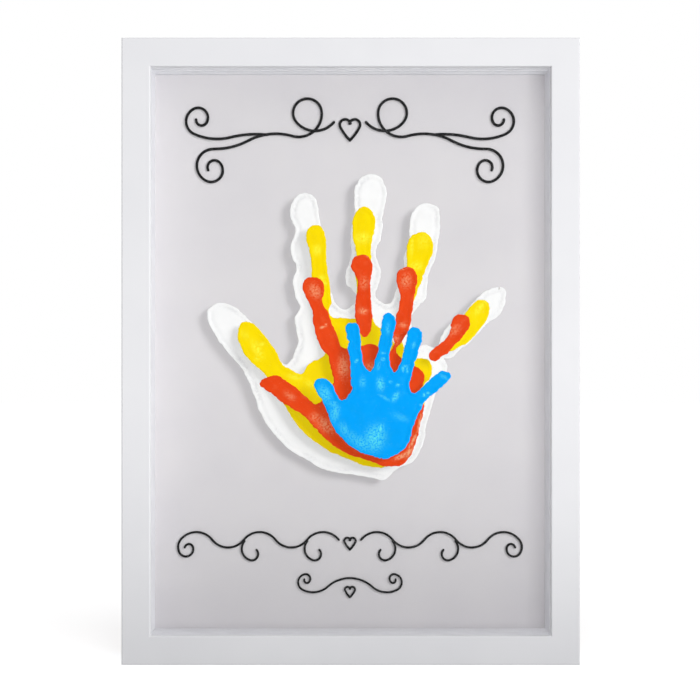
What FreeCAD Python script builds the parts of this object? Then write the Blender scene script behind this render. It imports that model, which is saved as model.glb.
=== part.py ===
import FreeCAD, Part
import math
import os
import Sketcher

# Deep wooden wall frame for painted handprints. Four clear sheets stand one behind the other,
# each with the print of one hand, held apart by spacer frames between the front pane and the
# backing card. Millimetres, +Z up, the front looks along -Y, X is the width.
# The origin is under the middle of the whole depth, on the bottom rail's lower face.

doc = FreeCAD.newDocument("handprint_frame")
sizes = doc.addObject("Spreadsheet::Sheet", "sizes")

driving_sizes = {
    # the clear sheets and how the rails hold them
    "sheet_width": 254.0,
    "sheet_height": 355.6,
    "sheet_thickness": 2.0,
    "sheet_gap": 0.8,
    "lip_lap": 6.35,
    "lip_thickness": 5.0,
    "wall_thickness": 10.2,
    "edge_round": 0.8,
    # what lies in the rails, from the front to the back
    "pane_thickness": 2.0,
    "spacer_thickness": 3.2,
    "spacer_setback": 0.6,
    "card_thickness": 1.5,
    "panel_thickness": 3.0,
    "panel_recess": 0.3,
    "panel_chamfer": 0.5,
    # paint and line ornaments
    "paint_thickness": 0.5,
    "ornament_thickness": 1.0,
    "title_stroke": 1.6,
    "title_side_margin": 12.15,
    "title_top_margin": 13.4,
    "line_stroke": 1.3,
    "line_side_margin": 12.15,
    "line_foot_gap": 7.3,
    "foot_stroke": 1.2,
    "foot_width": 66.0,
    "foot_margin": 18.2,
    # the hands: heel to middle fingertip, and the heel's place from the sheet's centre
    "white_length": 188.8,
    "white_heel_x": 16.8,
    "white_heel_drop": 79.2,
    "yellow_length": 160.7,
    "yellow_heel_x": 16.0,
    "yellow_heel_drop": 71.5,
    "red_length": 129.8,
    "red_heel_x": 24.4,
    "red_heel_drop": 70.5,
    "blue_length": 88.9,
    "blue_heel_x": 20.0,
    "blue_heel_drop": 65.4,
    # V-shaped nails across the mitres
    "nail_apex": 3.0,
    "nail_reach": 5.6,
    "nail_thickness": 0.6,
    "nail_depth": 12.0,
    "nail_gap": 0.05,
    # turn buttons that hold the back panel
    "button_width": 9.0,
    "button_reach": 14.0,
    "button_thickness": 1.2,
    "button_gap": 0.3,
    "button_round": 0.4,
    "button_rib": 0.8,
    "button_rib_width": 1.6,
    "button_place_x": 70.0,
    "button_place_z": 110.0,
    # pan-head wood screws
    "screw_radius": 1.5,
    "screw_bite": 12.0,
    "screw_gap": 0.05,
    "screw_hole_gap": 0.3,
    "head_radius": 3.2,
    "head_height": 1.8,
    "head_round": 0.8,
    "recess_length": 3.2,
    "recess_width": 0.8,
    "recess_depth": 1.0,
    # ring hanger on the top rail
    "hanger_length": 36.0,
    "hanger_width": 9.0,
    "hanger_thickness": 1.0,
    "hanger_screw_place": 13.0,
    "ring_radius": 9.0,
    "ring_wire_radius": 0.9,
    "ring_gap": 0.5,
    "ring_float": 0.1,
    "knuckle_wall": 0.7,
    "knuckle_length": 4.0,
    # rubber bumpers behind the bottom corners
    "bumper_radius": 4.4,
    "bumper_height": 5.0,
    "bumper_round": 1.6,
    "bumper_inset": 20.0,
    # one overrun for every cut
    "overrun": 1.0,
}

for row, (alias, number) in enumerate(driving_sizes.items(), start=1):
    sizes.set(f"A{row}", alias)
    sizes.set(f"B{row}", f"{number}")
    sizes.setAlias(f"B{row}", alias)
doc.recompute()


def size(words):
    """A size expression: each plain name becomes a cell of the sheet."""
    cells = sorted(driving_sizes, key=len, reverse=True)
    text = words
    for place, cell in enumerate(cells):
        text = text.replace(cell, f"@{place}@")
    for place, cell in enumerate(cells):
        text = text.replace(f"@{place}@", f"sizes.{cell}")
    return text


def value(words):
    """The number that a size expression gives now."""
    return float(sizes.evalExpression(size(words)))


print_names = ("blue", "red", "yellow", "white")

# Depths and outlines that follow from the driving sizes
layer_depth = "(spacer_thickness + sheet_thickness)"
pane_front = "lip_thickness"
pane_back = "(lip_thickness + pane_thickness)"
card_front = f"({pane_back} + {len(print_names)} * {layer_depth} + spacer_thickness)"
panel_front = f"({card_front} + card_thickness)"
rail_depth = f"({panel_front} + panel_thickness + panel_recess)"
front_y = f"(-({rail_depth} + bumper_height) / 2)"
face_width = "(wall_thickness + sheet_gap + lip_lap)"
outer_width = "(sheet_width + 2 * (sheet_gap + wall_thickness))"
outer_height = "(sheet_height + 2 * (sheet_gap + wall_thickness))"
middle_z = f"({outer_height} / 2)"
back_y = f"({front_y} + {rail_depth})"
opening_width = "(sheet_width - 2 * lip_lap)"
opening_height = "(sheet_height - 2 * lip_lap)"

sub_parts = []


def place(part, x="0", y="0", z="0", turn=0):
    """Binds a piece's place to the sheet, turned about Y by a number of degrees."""
    part.Placement = FreeCAD.Placement(FreeCAD.Vector(), FreeCAD.Rotation(FreeCAD.Vector(0, 1, 0), turn))
    for axis, words in (("x", x), ("y", y), ("z", z)):
        if words != "0":
            part.setExpression(f".Placement.Base.{axis}", size(words))


def new_body(label, x="0", y="0", z="0", turn=0):
    body = doc.addObject("PartDesign::Body", label)
    body.Label = label
    place(body, x, y, z, turn)
    sub_parts.append(body)
    return body


def new_sketch(body, depth="0"):
    """A sketch across the body, seen from the front, at a depth behind the body's own front."""
    plane = next(item for item in body.Origin.OriginFeatures if item.Role == "XZ_Plane")
    sketch = body.newObject("Sketcher::SketchObject", f"{body.Label}_sketch")
    sketch.AttachmentSupport = (plane, [""])
    sketch.MapMode = "FlatFace"
    if depth != "0":
        sketch.setExpression("AttachmentOffset.Base.z", size(f"-({depth})"))
    return sketch


def hold_point(sketch, curve, spot, which=1):
    """Ties a curve's start, or its centre where which is 3, to its named distances from the origin."""
    for words, kind, axis in ((spot[0], "DistanceX", -2), (spot[1], "DistanceY", -1)):
        if words == "0":
            sketch.addConstraint(Sketcher.Constraint("PointOnObject", curve, which, axis))
        else:
            tie = sketch.addConstraint(Sketcher.Constraint(kind, -1, 1, curve, which, value(words)))
            sketch.setExpression(f"Constraints[{tie}]", size(words))


def add_polygon(sketch, corners):
    """A closed outline through corners that are written as size expressions."""
    points = [FreeCAD.Vector(value(x), value(z), 0) for x, z in corners]
    first = sketch.GeometryCount
    count = len(points)
    for step in range(count):
        sketch.addGeometry(Part.LineSegment(points[step], points[(step + 1) % count]))
    for step in range(count):
        after = first + (step + 1) % count
        sketch.addConstraint(Sketcher.Constraint("Coincident", first + step, 2, after, 1))
    for step, corner in enumerate(corners):
        hold_point(sketch, first + step, corner)


def add_rectangle(sketch, half_width, half_height):
    left, low = f"-({half_width})", f"-({half_height})"
    add_polygon(sketch, [(left, low), (half_width, low), (half_width, half_height), (left, half_height)])


def add_circle(sketch, radius, x="0", z="0"):
    centre = FreeCAD.Vector(value(x), value(z), 0)
    ring = sketch.addGeometry(Part.Circle(centre, FreeCAD.Vector(0, 0, 1), value(radius)))
    tie = sketch.addConstraint(Sketcher.Constraint("Radius", ring, value(radius)))
    sketch.setExpression(f"Constraints[{tie}]", size(radius))
    hold_point(sketch, ring, (x, z), 3)


def add_slot(sketch, start, end, radius):
    """A round-ended outline from one centre to the other, each an (x, z) pair of size expressions."""
    reach = value(radius)
    centres = [FreeCAD.Vector(value(x), value(z), 0) for x, z in (start, end)]
    along = (centres[1] - centres[0]).normalize()
    side = FreeCAD.Vector(-along.y, along.x, 0)
    first = sketch.GeometryCount
    corners = [centres[0] - side * reach, centres[1] - side * reach,
               centres[1] + side * reach, centres[0] + side * reach]
    sketch.addGeometry(Part.LineSegment(corners[0], corners[1]))
    sketch.addGeometry(Part.Arc(corners[1], centres[1] + along * reach, corners[2]))
    sketch.addGeometry(Part.LineSegment(corners[2], corners[3]))
    sketch.addGeometry(Part.Arc(corners[3], centres[0] - along * reach, corners[0]))
    far, near = curve_ends(sketch, first + 1, corners), curve_ends(sketch, first + 3, corners)
    for line, line_end, arc, arc_end in ((first, 2, first + 1, far[1]), (first + 2, 1, first + 1, far[2]),
                                         (first + 2, 2, first + 3, near[3]), (first, 1, first + 3, near[0])):
        sketch.addConstraint(Sketcher.Constraint("Tangent", line, line_end, arc, arc_end))
    tie = sketch.addConstraint(Sketcher.Constraint("Radius", first + 1, reach))
    sketch.setExpression(f"Constraints[{tie}]", size(radius))
    hold_point(sketch, first + 1, end, 3)
    hold_point(sketch, first + 3, start, 3)


def curve_ends(sketch, arc, corners):
    """Which end of the arc, 1 or 2, lies on each corner."""
    curve = sketch.Geometry[arc]
    return {step: 1 if (curve.StartPoint - corner).Length < (curve.EndPoint - corner).Length else 2
            for step, corner in enumerate(corners)}


def pad(body, sketch, length, forward=False):
    """Adds material behind the sketch, or in front of it."""
    feature = body.newObject("PartDesign::Pad", f"{body.Label}_pad")
    feature.Profile = sketch
    feature.Reversed = not forward
    feature.setExpression("Length", size(length))
    doc.recompute()
    return feature


def pocket(body, sketch, length=None):
    """Cuts from the sketch to the back, or to a named depth."""
    before = body.Shape.Volume
    feature = body.newObject("PartDesign::Pocket", f"{body.Label}_pocket")
    feature.Profile = sketch
    if length is None:
        feature.Type = "ThroughAll"
    else:
        feature.setExpression("Length", size(length))
    doc.recompute()
    if not body.Shape.Volume < before:
        raise RuntimeError(f"{feature.Label} cuts nothing")
    return feature


def edges_where(shape, test):
    return [f"Edge{place}" for place, edge in enumerate(shape.Edges, start=1) if test(edge)]


def finish_edges(body, kind, amount, test):
    """Rounds or chamfers the edges that pass a test."""
    base = body.Tip
    feature = body.newObject(f"PartDesign::{kind}", f"{body.Label}_{kind.lower()}")
    feature.Base = (base, edges_where(base.Shape, test))
    feature.setExpression("Radius" if kind == "Fillet" else "Size", size(amount))
    doc.recompute()
    return feature


def at_depth(edge, words):
    """True where a whole edge lies at a depth of its body."""
    box = edge.BoundBox
    depth = value(words)
    near = value("edge_round") / 100
    return abs(box.YMin - depth) < near and abs(box.YMax - depth) < near


# The rails: a mitred L in section, with the lip in front and the wall outside.
# Each rail's own X runs along it, and its outer edge is at Z = 0.

def nail_outline(gap, run):
    """A V that straddles the mitre at both ends of a rail, widened by a gap all round."""
    spread_share = 0.27
    apex = f"(nail_apex - {gap} / (1 - {spread_share}))"
    tip = f"(nail_apex + nail_reach + {gap})"
    wall = f"(nail_thickness + 2 * {gap})"
    drift = f"({apex} + {spread_share} * ({tip} - {apex}))"
    inner = f"({apex} + {wall} / (1 - {spread_share}))"
    steps = [(apex, apex), (tip, drift), (tip, f"({drift} + {wall})"),
             (inner, inner), (f"({drift} + {wall})", tip), (drift, tip)]
    return [(run.format(x), f"-({z})") for x, z in steps]


rails = {
    # name: the outer edge's middle, how long it is, where its buttons are
    "top_rail": ("0", outer_height, outer_width, "button_place_x"),
    "bottom_rail": ("0", "0", outer_width, "button_place_x"),
    "right_rail": (f"({outer_width} / 2)", middle_z, outer_height, "button_place_z"),
    "left_rail": (f"(-{outer_width} / 2)", middle_z, outer_height, "button_place_z"),
}
rail_turn_degrees = {"top_rail": 0, "bottom_rail": 180, "right_rail": 90, "left_rail": -90}

for label, (edge_x, edge_z, run, button_place) in rails.items():
    rail = new_body(label, edge_x, front_y, edge_z, rail_turn_degrees[label])
    half_run = f"({run} / 2)"
    outline = new_sketch(rail)
    add_polygon(outline, [(f"-{half_run}", "0"), (half_run, "0"),
                          (f"({half_run} - {face_width})", f"-{face_width}"),
                          (f"-({half_run} - {face_width})", f"-{face_width}")])
    pad(rail, outline, rail_depth)

    rabbet = new_sketch(rail, "lip_thickness")
    rabbet_end = f"({half_run} - wall_thickness)"
    rabbet_low = f"-({face_width} + overrun)"
    add_polygon(rabbet, [(f"-{rabbet_end}", "-wall_thickness"), (rabbet_end, "-wall_thickness"),
                         (rabbet_end, rabbet_low), (f"-{rabbet_end}", rabbet_low)])
    pocket(rail, rabbet)

    slots = new_sketch(rail, f"{rail_depth} - nail_depth - nail_gap")
    add_polygon(slots, nail_outline("nail_gap", f"({half_run} - {{}})"))
    add_polygon(slots, nail_outline("nail_gap", f"-({half_run} - {{}})"))
    pocket(rail, slots)

    pilots = new_sketch(rail, f"{rail_depth} - screw_bite - screw_gap")
    pilot_radius = "screw_radius + screw_gap"
    add_circle(pilots, pilot_radius, button_place, "-wall_thickness / 2")
    add_circle(pilots, pilot_radius, f"-{button_place}", "-wall_thickness / 2")
    if label == "top_rail":
        add_circle(pilots, pilot_radius, "hanger_screw_place", "-wall_thickness / 2")
        add_circle(pilots, pilot_radius, "-hanger_screw_place", "-wall_thickness / 2")
    pocket(rail, pilots)

    long_edge = value(run) / 2
    finish_edges(rail, "Fillet", "edge_round",
                 lambda edge: at_depth(edge, "0") and edge.BoundBox.XLength > long_edge)


def add_plate(label, front, width, height, thickness):
    """A flat rectangle centred in the rails, at a depth behind the rails' front."""
    body = new_body(label, "0", f"{front_y} + {front}", middle_z)
    outline = new_sketch(body)
    add_rectangle(outline, f"{width} / 2", f"{height} / 2")
    pad(body, outline, thickness)
    return body


add_plate("front_pane", pane_front, "sheet_width", "sheet_height", "pane_thickness")
spacer_opening = ("(sheet_width - 2 * (lip_lap - spacer_setback)) / 2",
                  "(sheet_height - 2 * (lip_lap - spacer_setback)) / 2")
for layer in range(len(print_names) + 1):
    front = f"({pane_back} + {layer} * {layer_depth})"
    spacer = new_body(f"spacer_frame_{layer + 1}", "0", f"{front_y} + {front}", middle_z)
    outline = new_sketch(spacer)
    add_rectangle(outline, "sheet_width / 2", "sheet_height / 2")
    add_rectangle(outline, *spacer_opening)
    pad(spacer, outline, "spacer_thickness")
for layer, name in enumerate(print_names):
    front = f"({pane_back} + {layer} * {layer_depth} + spacer_thickness)"
    add_plate(f"{name}_print_sheet", front, "sheet_width", "sheet_height", "sheet_thickness")
add_plate("backing_card", card_front, "sheet_width", "sheet_height", "card_thickness")
back_panel = add_plate("back_panel", panel_front, "sheet_width", "sheet_height", "panel_thickness")
finish_edges(back_panel, "Chamfer", "panel_chamfer", lambda edge: at_depth(edge, "panel_thickness"))


# The handprints: outlines read by hand in the photograph's 700 by 700 pixels, clockwise from the
# heel. A print's own length turns them into real sizes.

print_outline_pixels = {
    "blue": [[
        (383, 459), (375, 457), (362, 453), (350, 446), (340, 437), (332, 425), (326, 410), (319, 396),
        (314, 387), (315, 382), (322, 378), (331, 384), (335, 392), (341, 401), (348, 396), (351, 389),
        (350, 380), (350, 362), (347, 348), (348, 341), (345, 328), (352, 323), (358, 326), (360, 341),
        (362, 360), (365, 368), (370, 372), (374, 364), (378, 348), (380, 338), (382, 319), (388, 313),
        (395, 319), (393, 334), (391, 348), (389, 354), (390, 364), (394, 372), (401, 361), (402, 355),
        (406, 342), (408, 331), (414, 327), (422, 333), (421, 341), (418, 350), (417, 356), (414, 365),
        (412, 374), (409, 385), (413, 393), (419, 391), (424, 385), (435, 375), (443, 371), (450, 375),
        (448, 380), (438, 390), (429, 397), (424, 403), (418, 415), (414, 422), (411, 431), (409, 440),
        (403, 450), (396, 454), (389, 458)]],
    "red": [[
        (390, 466), (382, 465), (369, 460), (352, 455), (335, 446), (320, 433), (304, 416), (283, 402),
        (268, 391), (260, 383), (268, 376), (277, 375), (289, 382), (304, 394), (314, 403), (322, 400),
        (330, 391), (333, 380), (330, 365), (328, 355), (322, 349), (316, 334), (313, 322), (311, 307),
        (306, 297), (302, 287), (305, 279), (312, 276), (320, 279), (324, 288), (322, 301), (329, 314),
        (332, 325), (338, 336), (341, 346), (350, 347), (362, 345), (370, 343), (378, 346), (386, 352),
        (391, 349), (394, 342), (393, 334), (397, 311), (400, 295), (396, 279), (399, 270), (408, 266),
        (415, 271), (417, 280), (414, 295), (411, 319), (408, 331), (404, 338), (399, 344), (396, 348),
        (397, 353), (402, 358), (409, 362), (416, 366), (423, 371), (424, 381), (420, 389), (417, 396),
        (423, 403), (422, 415), (418, 433), (414, 447), (409, 457), (401, 464)],
        [(362, 254), (354, 258), (351, 266), (357, 279), (356, 298), (355, 318), (359, 332), (365, 337),
         (370, 332), (372, 318), (371, 300), (370, 281), (372, 268), (370, 258)],
        [(459, 314), (452, 320), (449, 333), (440, 343), (433, 349), (429, 355), (434, 361), (440, 357),
         (448, 352), (455, 344), (465, 333), (470, 323), (467, 316)]],
    "yellow": [[
        (376, 467), (366, 465), (352, 460), (335, 453), (320, 445), (304, 432), (291, 416), (284, 404),
        (274, 389), (265, 374), (251, 362), (243, 351), (238, 338), (240, 324), (247, 321), (256, 325),
        (266, 337), (275, 349), (282, 364), (290, 369), (301, 373), (309, 363), (318, 359), (326, 352),
        (324, 340), (320, 325), (316, 305), (312, 285), (311, 262), (309, 250), (306, 238), (308, 228),
        (316, 224), (323, 229), (326, 240), (326, 252), (328, 275), (331, 300), (329, 310), (333, 317),
        (345, 317), (355, 318), (357, 300), (356, 270), (356, 252), (353, 238), (352, 225), (356, 211),
        (365, 206), (373, 212), (375, 226), (371, 243), (371, 256), (369, 280), (370, 305), (374, 322),
        (381, 328), (389, 335), (396, 344), (399, 330), (402, 305), (404, 280), (407, 262), (406, 250),
        (409, 238), (419, 232), (429, 235), (433, 247), (430, 258), (426, 268), (421, 280), (417, 291),
        (413, 301), (410, 313), (406, 328), (402, 340), (405, 350), (412, 357), (420, 357), (427, 359),
        (431, 364), (432, 371), (430, 377), (424, 383), (421, 392), (424, 403), (421, 415), (418, 430),
        (414, 445), (408, 456), (398, 463), (386, 466)],
        [(455, 349), (449, 350), (447, 345), (451, 336), (457, 326), (464, 314), (471, 304), (480, 299),
         (488, 303), (489, 312), (485, 321), (474, 335), (464, 344)]],
    "white": [[
        (377, 479), (352, 474), (327, 470), (308, 460), (291, 450), (276, 436), (261, 414), (256, 400),
        (246, 376), (240, 366), (226, 350), (213, 331), (207, 313), (212, 305), (221, 302), (233, 306),
        (243, 313), (253, 324), (264, 339), (275, 353), (286, 364), (294, 353), (298, 340), (295, 325),
        (295, 316), (300, 308), (296, 298), (293, 278), (296, 269), (292, 256), (291, 242), (295, 230),
        (291, 220), (290, 210), (294, 198), (304, 193), (315, 198), (318, 211), (321, 226), (324, 245),
        (326, 270), (330, 290), (338, 306), (348, 308), (356, 296), (346, 283), (346, 270), (351, 255),
        (350, 235), (354, 215), (354, 200), (356, 184), (363, 176), (371, 174), (380, 177), (385, 186),
        (386, 197), (382, 216), (382, 225), (380, 239), (375, 252), (379, 265), (380, 278), (375, 295),
        (380, 301), (390, 303), (397, 284), (404, 265), (403, 257), (408, 244), (409, 230), (411, 216),
        (417, 206), (427, 203), (436, 206), (440, 219), (437, 245), (434, 260), (427, 279), (426, 296),
        (418, 306), (411, 318), (413, 335), (418, 347), (424, 344), (430, 346), (436, 347), (442, 333),
        (452, 322), (463, 312), (474, 301), (483, 292), (492, 288), (504, 289), (505, 300), (498, 315),
        (487, 323), (472, 339), (463, 347), (456, 353), (449, 358), (443, 358), (446, 363), (447, 369),
        (444, 377), (440, 384), (433, 400), (430, 413),
        (426, 424), (424, 438), (419, 451), (411, 462), (398, 468), (387, 477)]],
}


def add_shape(label, shape, x, y, z):
    """A finished shape as a named piece, moved to its place."""
    part = doc.addObject("Part::Feature", label)
    part.Label = label
    part.Shape = shape
    part.Placement.Base = FreeCAD.Vector(x, y, z)
    sub_parts.append(part)
    return part


def smooth_outline(points):
    """A closed curve through the points, spaced by the root of their distances so that it can't loop."""
    spans = [(points[(step + 1) % len(points)] - point).Length ** 0.5 for step, point in enumerate(points)]
    knots = [sum(spans[:step]) for step in range(len(points) + 1)]
    curve = Part.BSplineCurve()
    curve.interpolate(Points=points, PeriodicFlag=True, Parameters=knots)
    return Part.Wire([curve.toShape()])


def print_shape(name):
    outlines = print_outline_pixels[name]
    heel_x, heel_y = outlines[0][0]
    tip_y = min(y for outline in outlines for x, y in outline)
    scale = value(f"{name}_length") / (heel_y - tip_y)
    solids = []
    for outline in outlines:
        points = [FreeCAD.Vector((x - heel_x) * scale, 0, (heel_y - y) * scale) for x, y in outline]
        face = Part.Face(smooth_outline(points))
        solids.append(face.extrude(FreeCAD.Vector(0, -value("paint_thickness"), 0)))
    return solids[0] if len(solids) == 1 else Part.makeCompound(solids)


for layer, name in enumerate(print_names):
    front = f"({pane_back} + {layer} * {layer_depth} + spacer_thickness)"
    add_shape(f"{name}_handprint", print_shape(name), value(f"{name}_heel_x"),
              value(f"{front_y} + {front}"), value(f"{middle_z} - {name}_heel_drop"))


# Line ornaments: strokes that walk along tangent arcs, in shares of the ornament's width, and
# are mirrored about its middle. A stroke has its start, its heading in degrees and its arcs,
# each a radius and a turn in degrees, to the left where it is positive.

ornament_shares = {
    "title": [
        ((0.0, -0.048), 44, [(0.135, 20), (0.0154, 192)]),
        ((0.046, 0.004), -50, [(0.070, 100), (0.041, 214), (0.066, 112), (0.170, -44), (0.200, 22),
                               (0.250, 6), (0.048, -154), (0.033, -160), (0.020, -160)]),
        ((0.238, -0.032), 6, [(0.30, -20), (0.16, 38), (0.040, 130), (0.028, 150), (0.016, 150)]),
    ],
    "line": [
        ((0.0, -0.028), 44, [(0.075, 20), (0.0088, 192)]),
        ((0.032, 0.0), 52, [(0.0575, -104), (0.0575, 104), (0.0575, -104), (0.0575, 104), (0.0575, -104),
                            (0.034, -66), (0.021, -170), (0.012, -150)]),
        ((0.302, -0.004), -50, [(0.034, -112), (0.018, -150)]),
        ((0.122, -0.004), -50, [(0.034, -112), (0.018, -150)]),
    ],
    "foot": [
        ((0.0, 0.055), 0, [(0.31, -42), (0.21, 70), (0.078, 140), (0.044, 150), (0.026, 150)]),
        ((0.0, -0.125), 44, [(0.22, 20), (0.0250, 192)]),
    ],
}


def arc_sector(start, heading, radius, turn, stroke):
    """One arc of a stroke as a flat band, and where the next one starts."""
    side = 1 if turn > 0 else -1
    centre = start + FreeCAD.Vector(-math.sin(heading), 0, math.cos(heading)) * (side * radius)

    def on_arc(reach, swept):
        angle = heading + swept
        return centre + FreeCAD.Vector(math.sin(angle), 0, -math.cos(angle)) * (side * reach)

    outer, inner = radius + stroke / 2, radius - stroke / 2
    rim = Part.Arc(on_arc(outer, 0), on_arc(outer, turn / 2), on_arc(outer, turn)).toShape()
    bore = Part.Arc(on_arc(inner, turn), on_arc(inner, turn / 2), on_arc(inner, 0)).toShape()
    sides = [Part.makeLine(on_arc(outer, turn), on_arc(inner, turn)),
             Part.makeLine(on_arc(inner, 0), on_arc(outer, 0))]
    return Part.Face(Part.Wire([rim, sides[0], bore, sides[1]])), on_arc(radius, turn)


def ornament_shape(name, width):
    """The strokes of one ornament at a width in millimetres, about its own middle."""
    stroke = value(f"{name}_stroke")
    thickness = FreeCAD.Vector(0, -value("ornament_thickness"), 0)
    bands = []
    for (x_share, z_share), degrees, arcs in ornament_shares[name]:
        point = FreeCAD.Vector(x_share, 0, z_share) * width
        heading = math.radians(degrees)
        ends = [point]
        for radius_share, turn in arcs:
            band, point = arc_sector(point, heading, radius_share * width, math.radians(turn), stroke)
            heading += math.radians(turn)
            bands.append(band.extrude(thickness))
        ends.append(point)
        bands += [Part.makeCylinder(stroke / 2, thickness.Length, end, thickness) for end in ends]
    half = bands[0].multiFuse(bands[1:])
    return half.fuse(half.mirror(FreeCAD.Vector(), FreeCAD.Vector(1, 0, 0))).removeSplitter()


# The title hangs below the opening's top edge, the foot stands on its lower edge, and the line
# stands over the foot.

card_y = value(f"{front_y} + {card_front}")
title = ornament_shape("title", value(f"{opening_width} - 2 * title_side_margin"))
title_top = value(f"{middle_z} + {opening_height} / 2 - title_top_margin")
foot = ornament_shape("foot", value("foot_width"))
foot_low = value(f"{middle_z} - {opening_height} / 2 + foot_margin")
line = ornament_shape("line", value(f"{opening_width} - 2 * line_side_margin"))
line_low = foot_low + foot.BoundBox.ZLength + value("line_foot_gap")
add_shape("title_ornament", title, 0, card_y, title_top - title.BoundBox.ZMax)
add_shape("line_ornament", line, 0, card_y, line_low - line.BoundBox.ZMin)
add_shape("foot_ornament", foot, 0, card_y, foot_low - foot.BoundBox.ZMin)


# V-nails: one in each corner, pressed in from the back and mirrored to the other three

def mirror_over(body, originals, roles):
    """Repeats features across the body's own middle planes, one after the other."""
    repeat = body.newObject("PartDesign::MultiTransform", f"{body.Label}_repeat")
    repeat.Originals = originals
    mirrors = []
    for role in roles:
        mirror = body.newObject("PartDesign::Mirrored", f"{body.Label}_{role}")
        plane = next(item for item in body.Origin.OriginFeatures if item.Role == role)
        mirror.MirrorPlane = (plane, [""])
        mirrors.append(mirror)
    repeat.Transformations = mirrors
    body.Tip = repeat
    doc.recompute()
    return repeat


nails = new_body("corner_v_nails", "0", f"{back_y} - nail_depth", middle_z)
outline = new_sketch(nails)
corner_runs = nail_outline("0", f"({outer_width} / 2 - {{}})")
add_polygon(outline, [(x, f"({middle_z} + {drop})") for x, drop in corner_runs])
first_nail = pad(nails, outline, "nail_depth")
mirror_over(nails, [first_nail], ["YZ_Plane", "XY_Plane"])


# Turn buttons: their own origin is on the screw's axis, at the button's front face

def button_centre(edge_x, edge_z, turn_degrees, along):
    """The screw's place on a rail, from its outer edge's middle."""
    turn = math.radians(turn_degrees)
    run_x, run_z = round(math.cos(turn)), -round(math.sin(turn))
    in_x, in_z = -round(math.sin(turn)), -round(math.cos(turn))
    return (f"({edge_x} + {run_x} * {along} + {in_x} * wall_thickness / 2)",
            f"({edge_z} + {run_z} * {along} + {in_z} * wall_thickness / 2)")


def is_button_rim(edge):
    """The outer rim of a button's rear face: its straight sides and its round ends."""
    long_side = edge.BoundBox.ZLength > value("button_reach") / 2
    round_end = edge.BoundBox.XLength > value("button_width") / 2
    return at_depth(edge, "button_thickness") and (long_side or round_end)


for rail_name, (edge_x, edge_z, run, button_place) in rails.items():
    turn = rail_turn_degrees[rail_name]
    for number, along in enumerate((f"(-{button_place})", button_place), start=1):
        x, z = button_centre(edge_x, edge_z, turn, along)
        label = f"{rail_name.replace('_rail', '')}_turn_button_{number}"
        button = new_body(label, x, f"{back_y} + button_gap", z, turn)
        outline = new_sketch(button)
        add_slot(outline, ("0", "0"), ("0", "-button_reach"), "button_width / 2")
        pad(button, outline, "button_thickness")
        rib = new_sketch(button, "button_thickness")
        rib_top, rib_low = "-button_reach + 3 / 2 * button_rib_width", "-button_reach - button_rib_width / 2"
        add_slot(rib, ("0", rib_top), ("0", rib_low), "button_rib_width / 2")
        pad(button, rib, "button_rib")
        hole = new_sketch(button)
        add_circle(hole, "screw_radius + screw_hole_gap")
        pocket(button, hole)
        finish_edges(button, "Fillet", "button_round", is_button_rim)


# Pan-head screws, with a cross recess, their own origin plane on the rails' back

def add_screw(body, x, z, head_foot):
    """One screw: shank, head and recess. head_foot is the head's lower face above the rail."""
    shank = new_sketch(body, "-screw_bite")
    add_circle(shank, "screw_radius", x, z)
    features = [pad(body, shank, f"screw_bite + {head_foot}")]
    head = new_sketch(body, head_foot)
    add_circle(head, "head_radius", x, z)
    features.append(pad(body, head, "head_height"))
    rim_depth = f"{head_foot} + head_height"
    features.append(finish_edges(body, "Fillet", "head_round",
                                 lambda edge: at_depth(edge, rim_depth)
                                 and edge.BoundBox.XLength > value("2 * head_radius - head_round")))
    recess = new_sketch(body, f"{head_foot} + head_height - recess_depth")
    half_long, half_short = "(recess_length / 2)", "(recess_width / 2)"
    cross = [(half_short, half_long), (half_short, half_short), (half_long, half_short),
             (half_long, f"-{half_short}"), (half_short, f"-{half_short}"), (half_short, f"-{half_long}"),
             (f"-{half_short}", f"-{half_long}"), (f"-{half_short}", f"-{half_short}"),
             (f"-{half_long}", f"-{half_short}"), (f"-{half_long}", half_short),
             (f"-{half_short}", half_short), (f"-{half_short}", half_long)]
    add_polygon(recess, [(f"({x} + {run})", f"({z} + {rise})") for run, rise in cross])
    features.append(pocket(body, recess, "recess_depth + overrun"))
    return features


button_head = "(button_thickness + 2 * button_gap)"
edge_line = "wall_thickness / 2"
screws = new_body("turn_button_screws", "0", back_y, middle_z)
originals = add_screw(screws, "button_place_x", f"({middle_z} - {edge_line})", button_head)
originals += add_screw(screws, f"({outer_width} / 2 - {edge_line})", "button_place_z", button_head)
mirror_over(screws, originals, ["YZ_Plane", "XY_Plane"])

hanger_z = f"({outer_height} - {edge_line})"
hanger_screws = new_body("hanger_screws", "0", back_y, hanger_z)
originals = add_screw(hanger_screws, "hanger_screw_place", "0", "hanger_thickness")
mirror_over(hanger_screws, originals, ["YZ_Plane"])


# Ring hanger: a plate with a rolled knuckle, and the ring through it

ring_lift = "(hanger_thickness + ring_gap + ring_wire_radius + ring_float)"
knuckle_bore = "(ring_wire_radius + ring_gap)"

plate = new_body("hanger_plate", "0", back_y, hanger_z)
outline = new_sketch(plate)
plate_reach = "(hanger_length - hanger_width) / 2"
add_slot(outline, (f"-{plate_reach}", "0"), (plate_reach, "0"), "hanger_width / 2")
pad(plate, outline, "hanger_thickness")
holes = new_sketch(plate)
add_circle(holes, "screw_radius + screw_gap", "hanger_screw_place")
add_circle(holes, "screw_radius + screw_gap", "-hanger_screw_place")
pocket(plate, holes)


def side_sketch(body, x):
    """A sketch across X at a place of the body, whose first axis is Y and second is Z."""
    plane = next(item for item in body.Origin.OriginFeatures if item.Role == "YZ_Plane")
    sketch = body.newObject("Sketcher::SketchObject", f"{body.Label}_side_sketch")
    sketch.AttachmentSupport = (plane, [""])
    sketch.MapMode = "FlatFace"
    sketch.setExpression("AttachmentOffset.Base.z", size(x))
    return sketch


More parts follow.
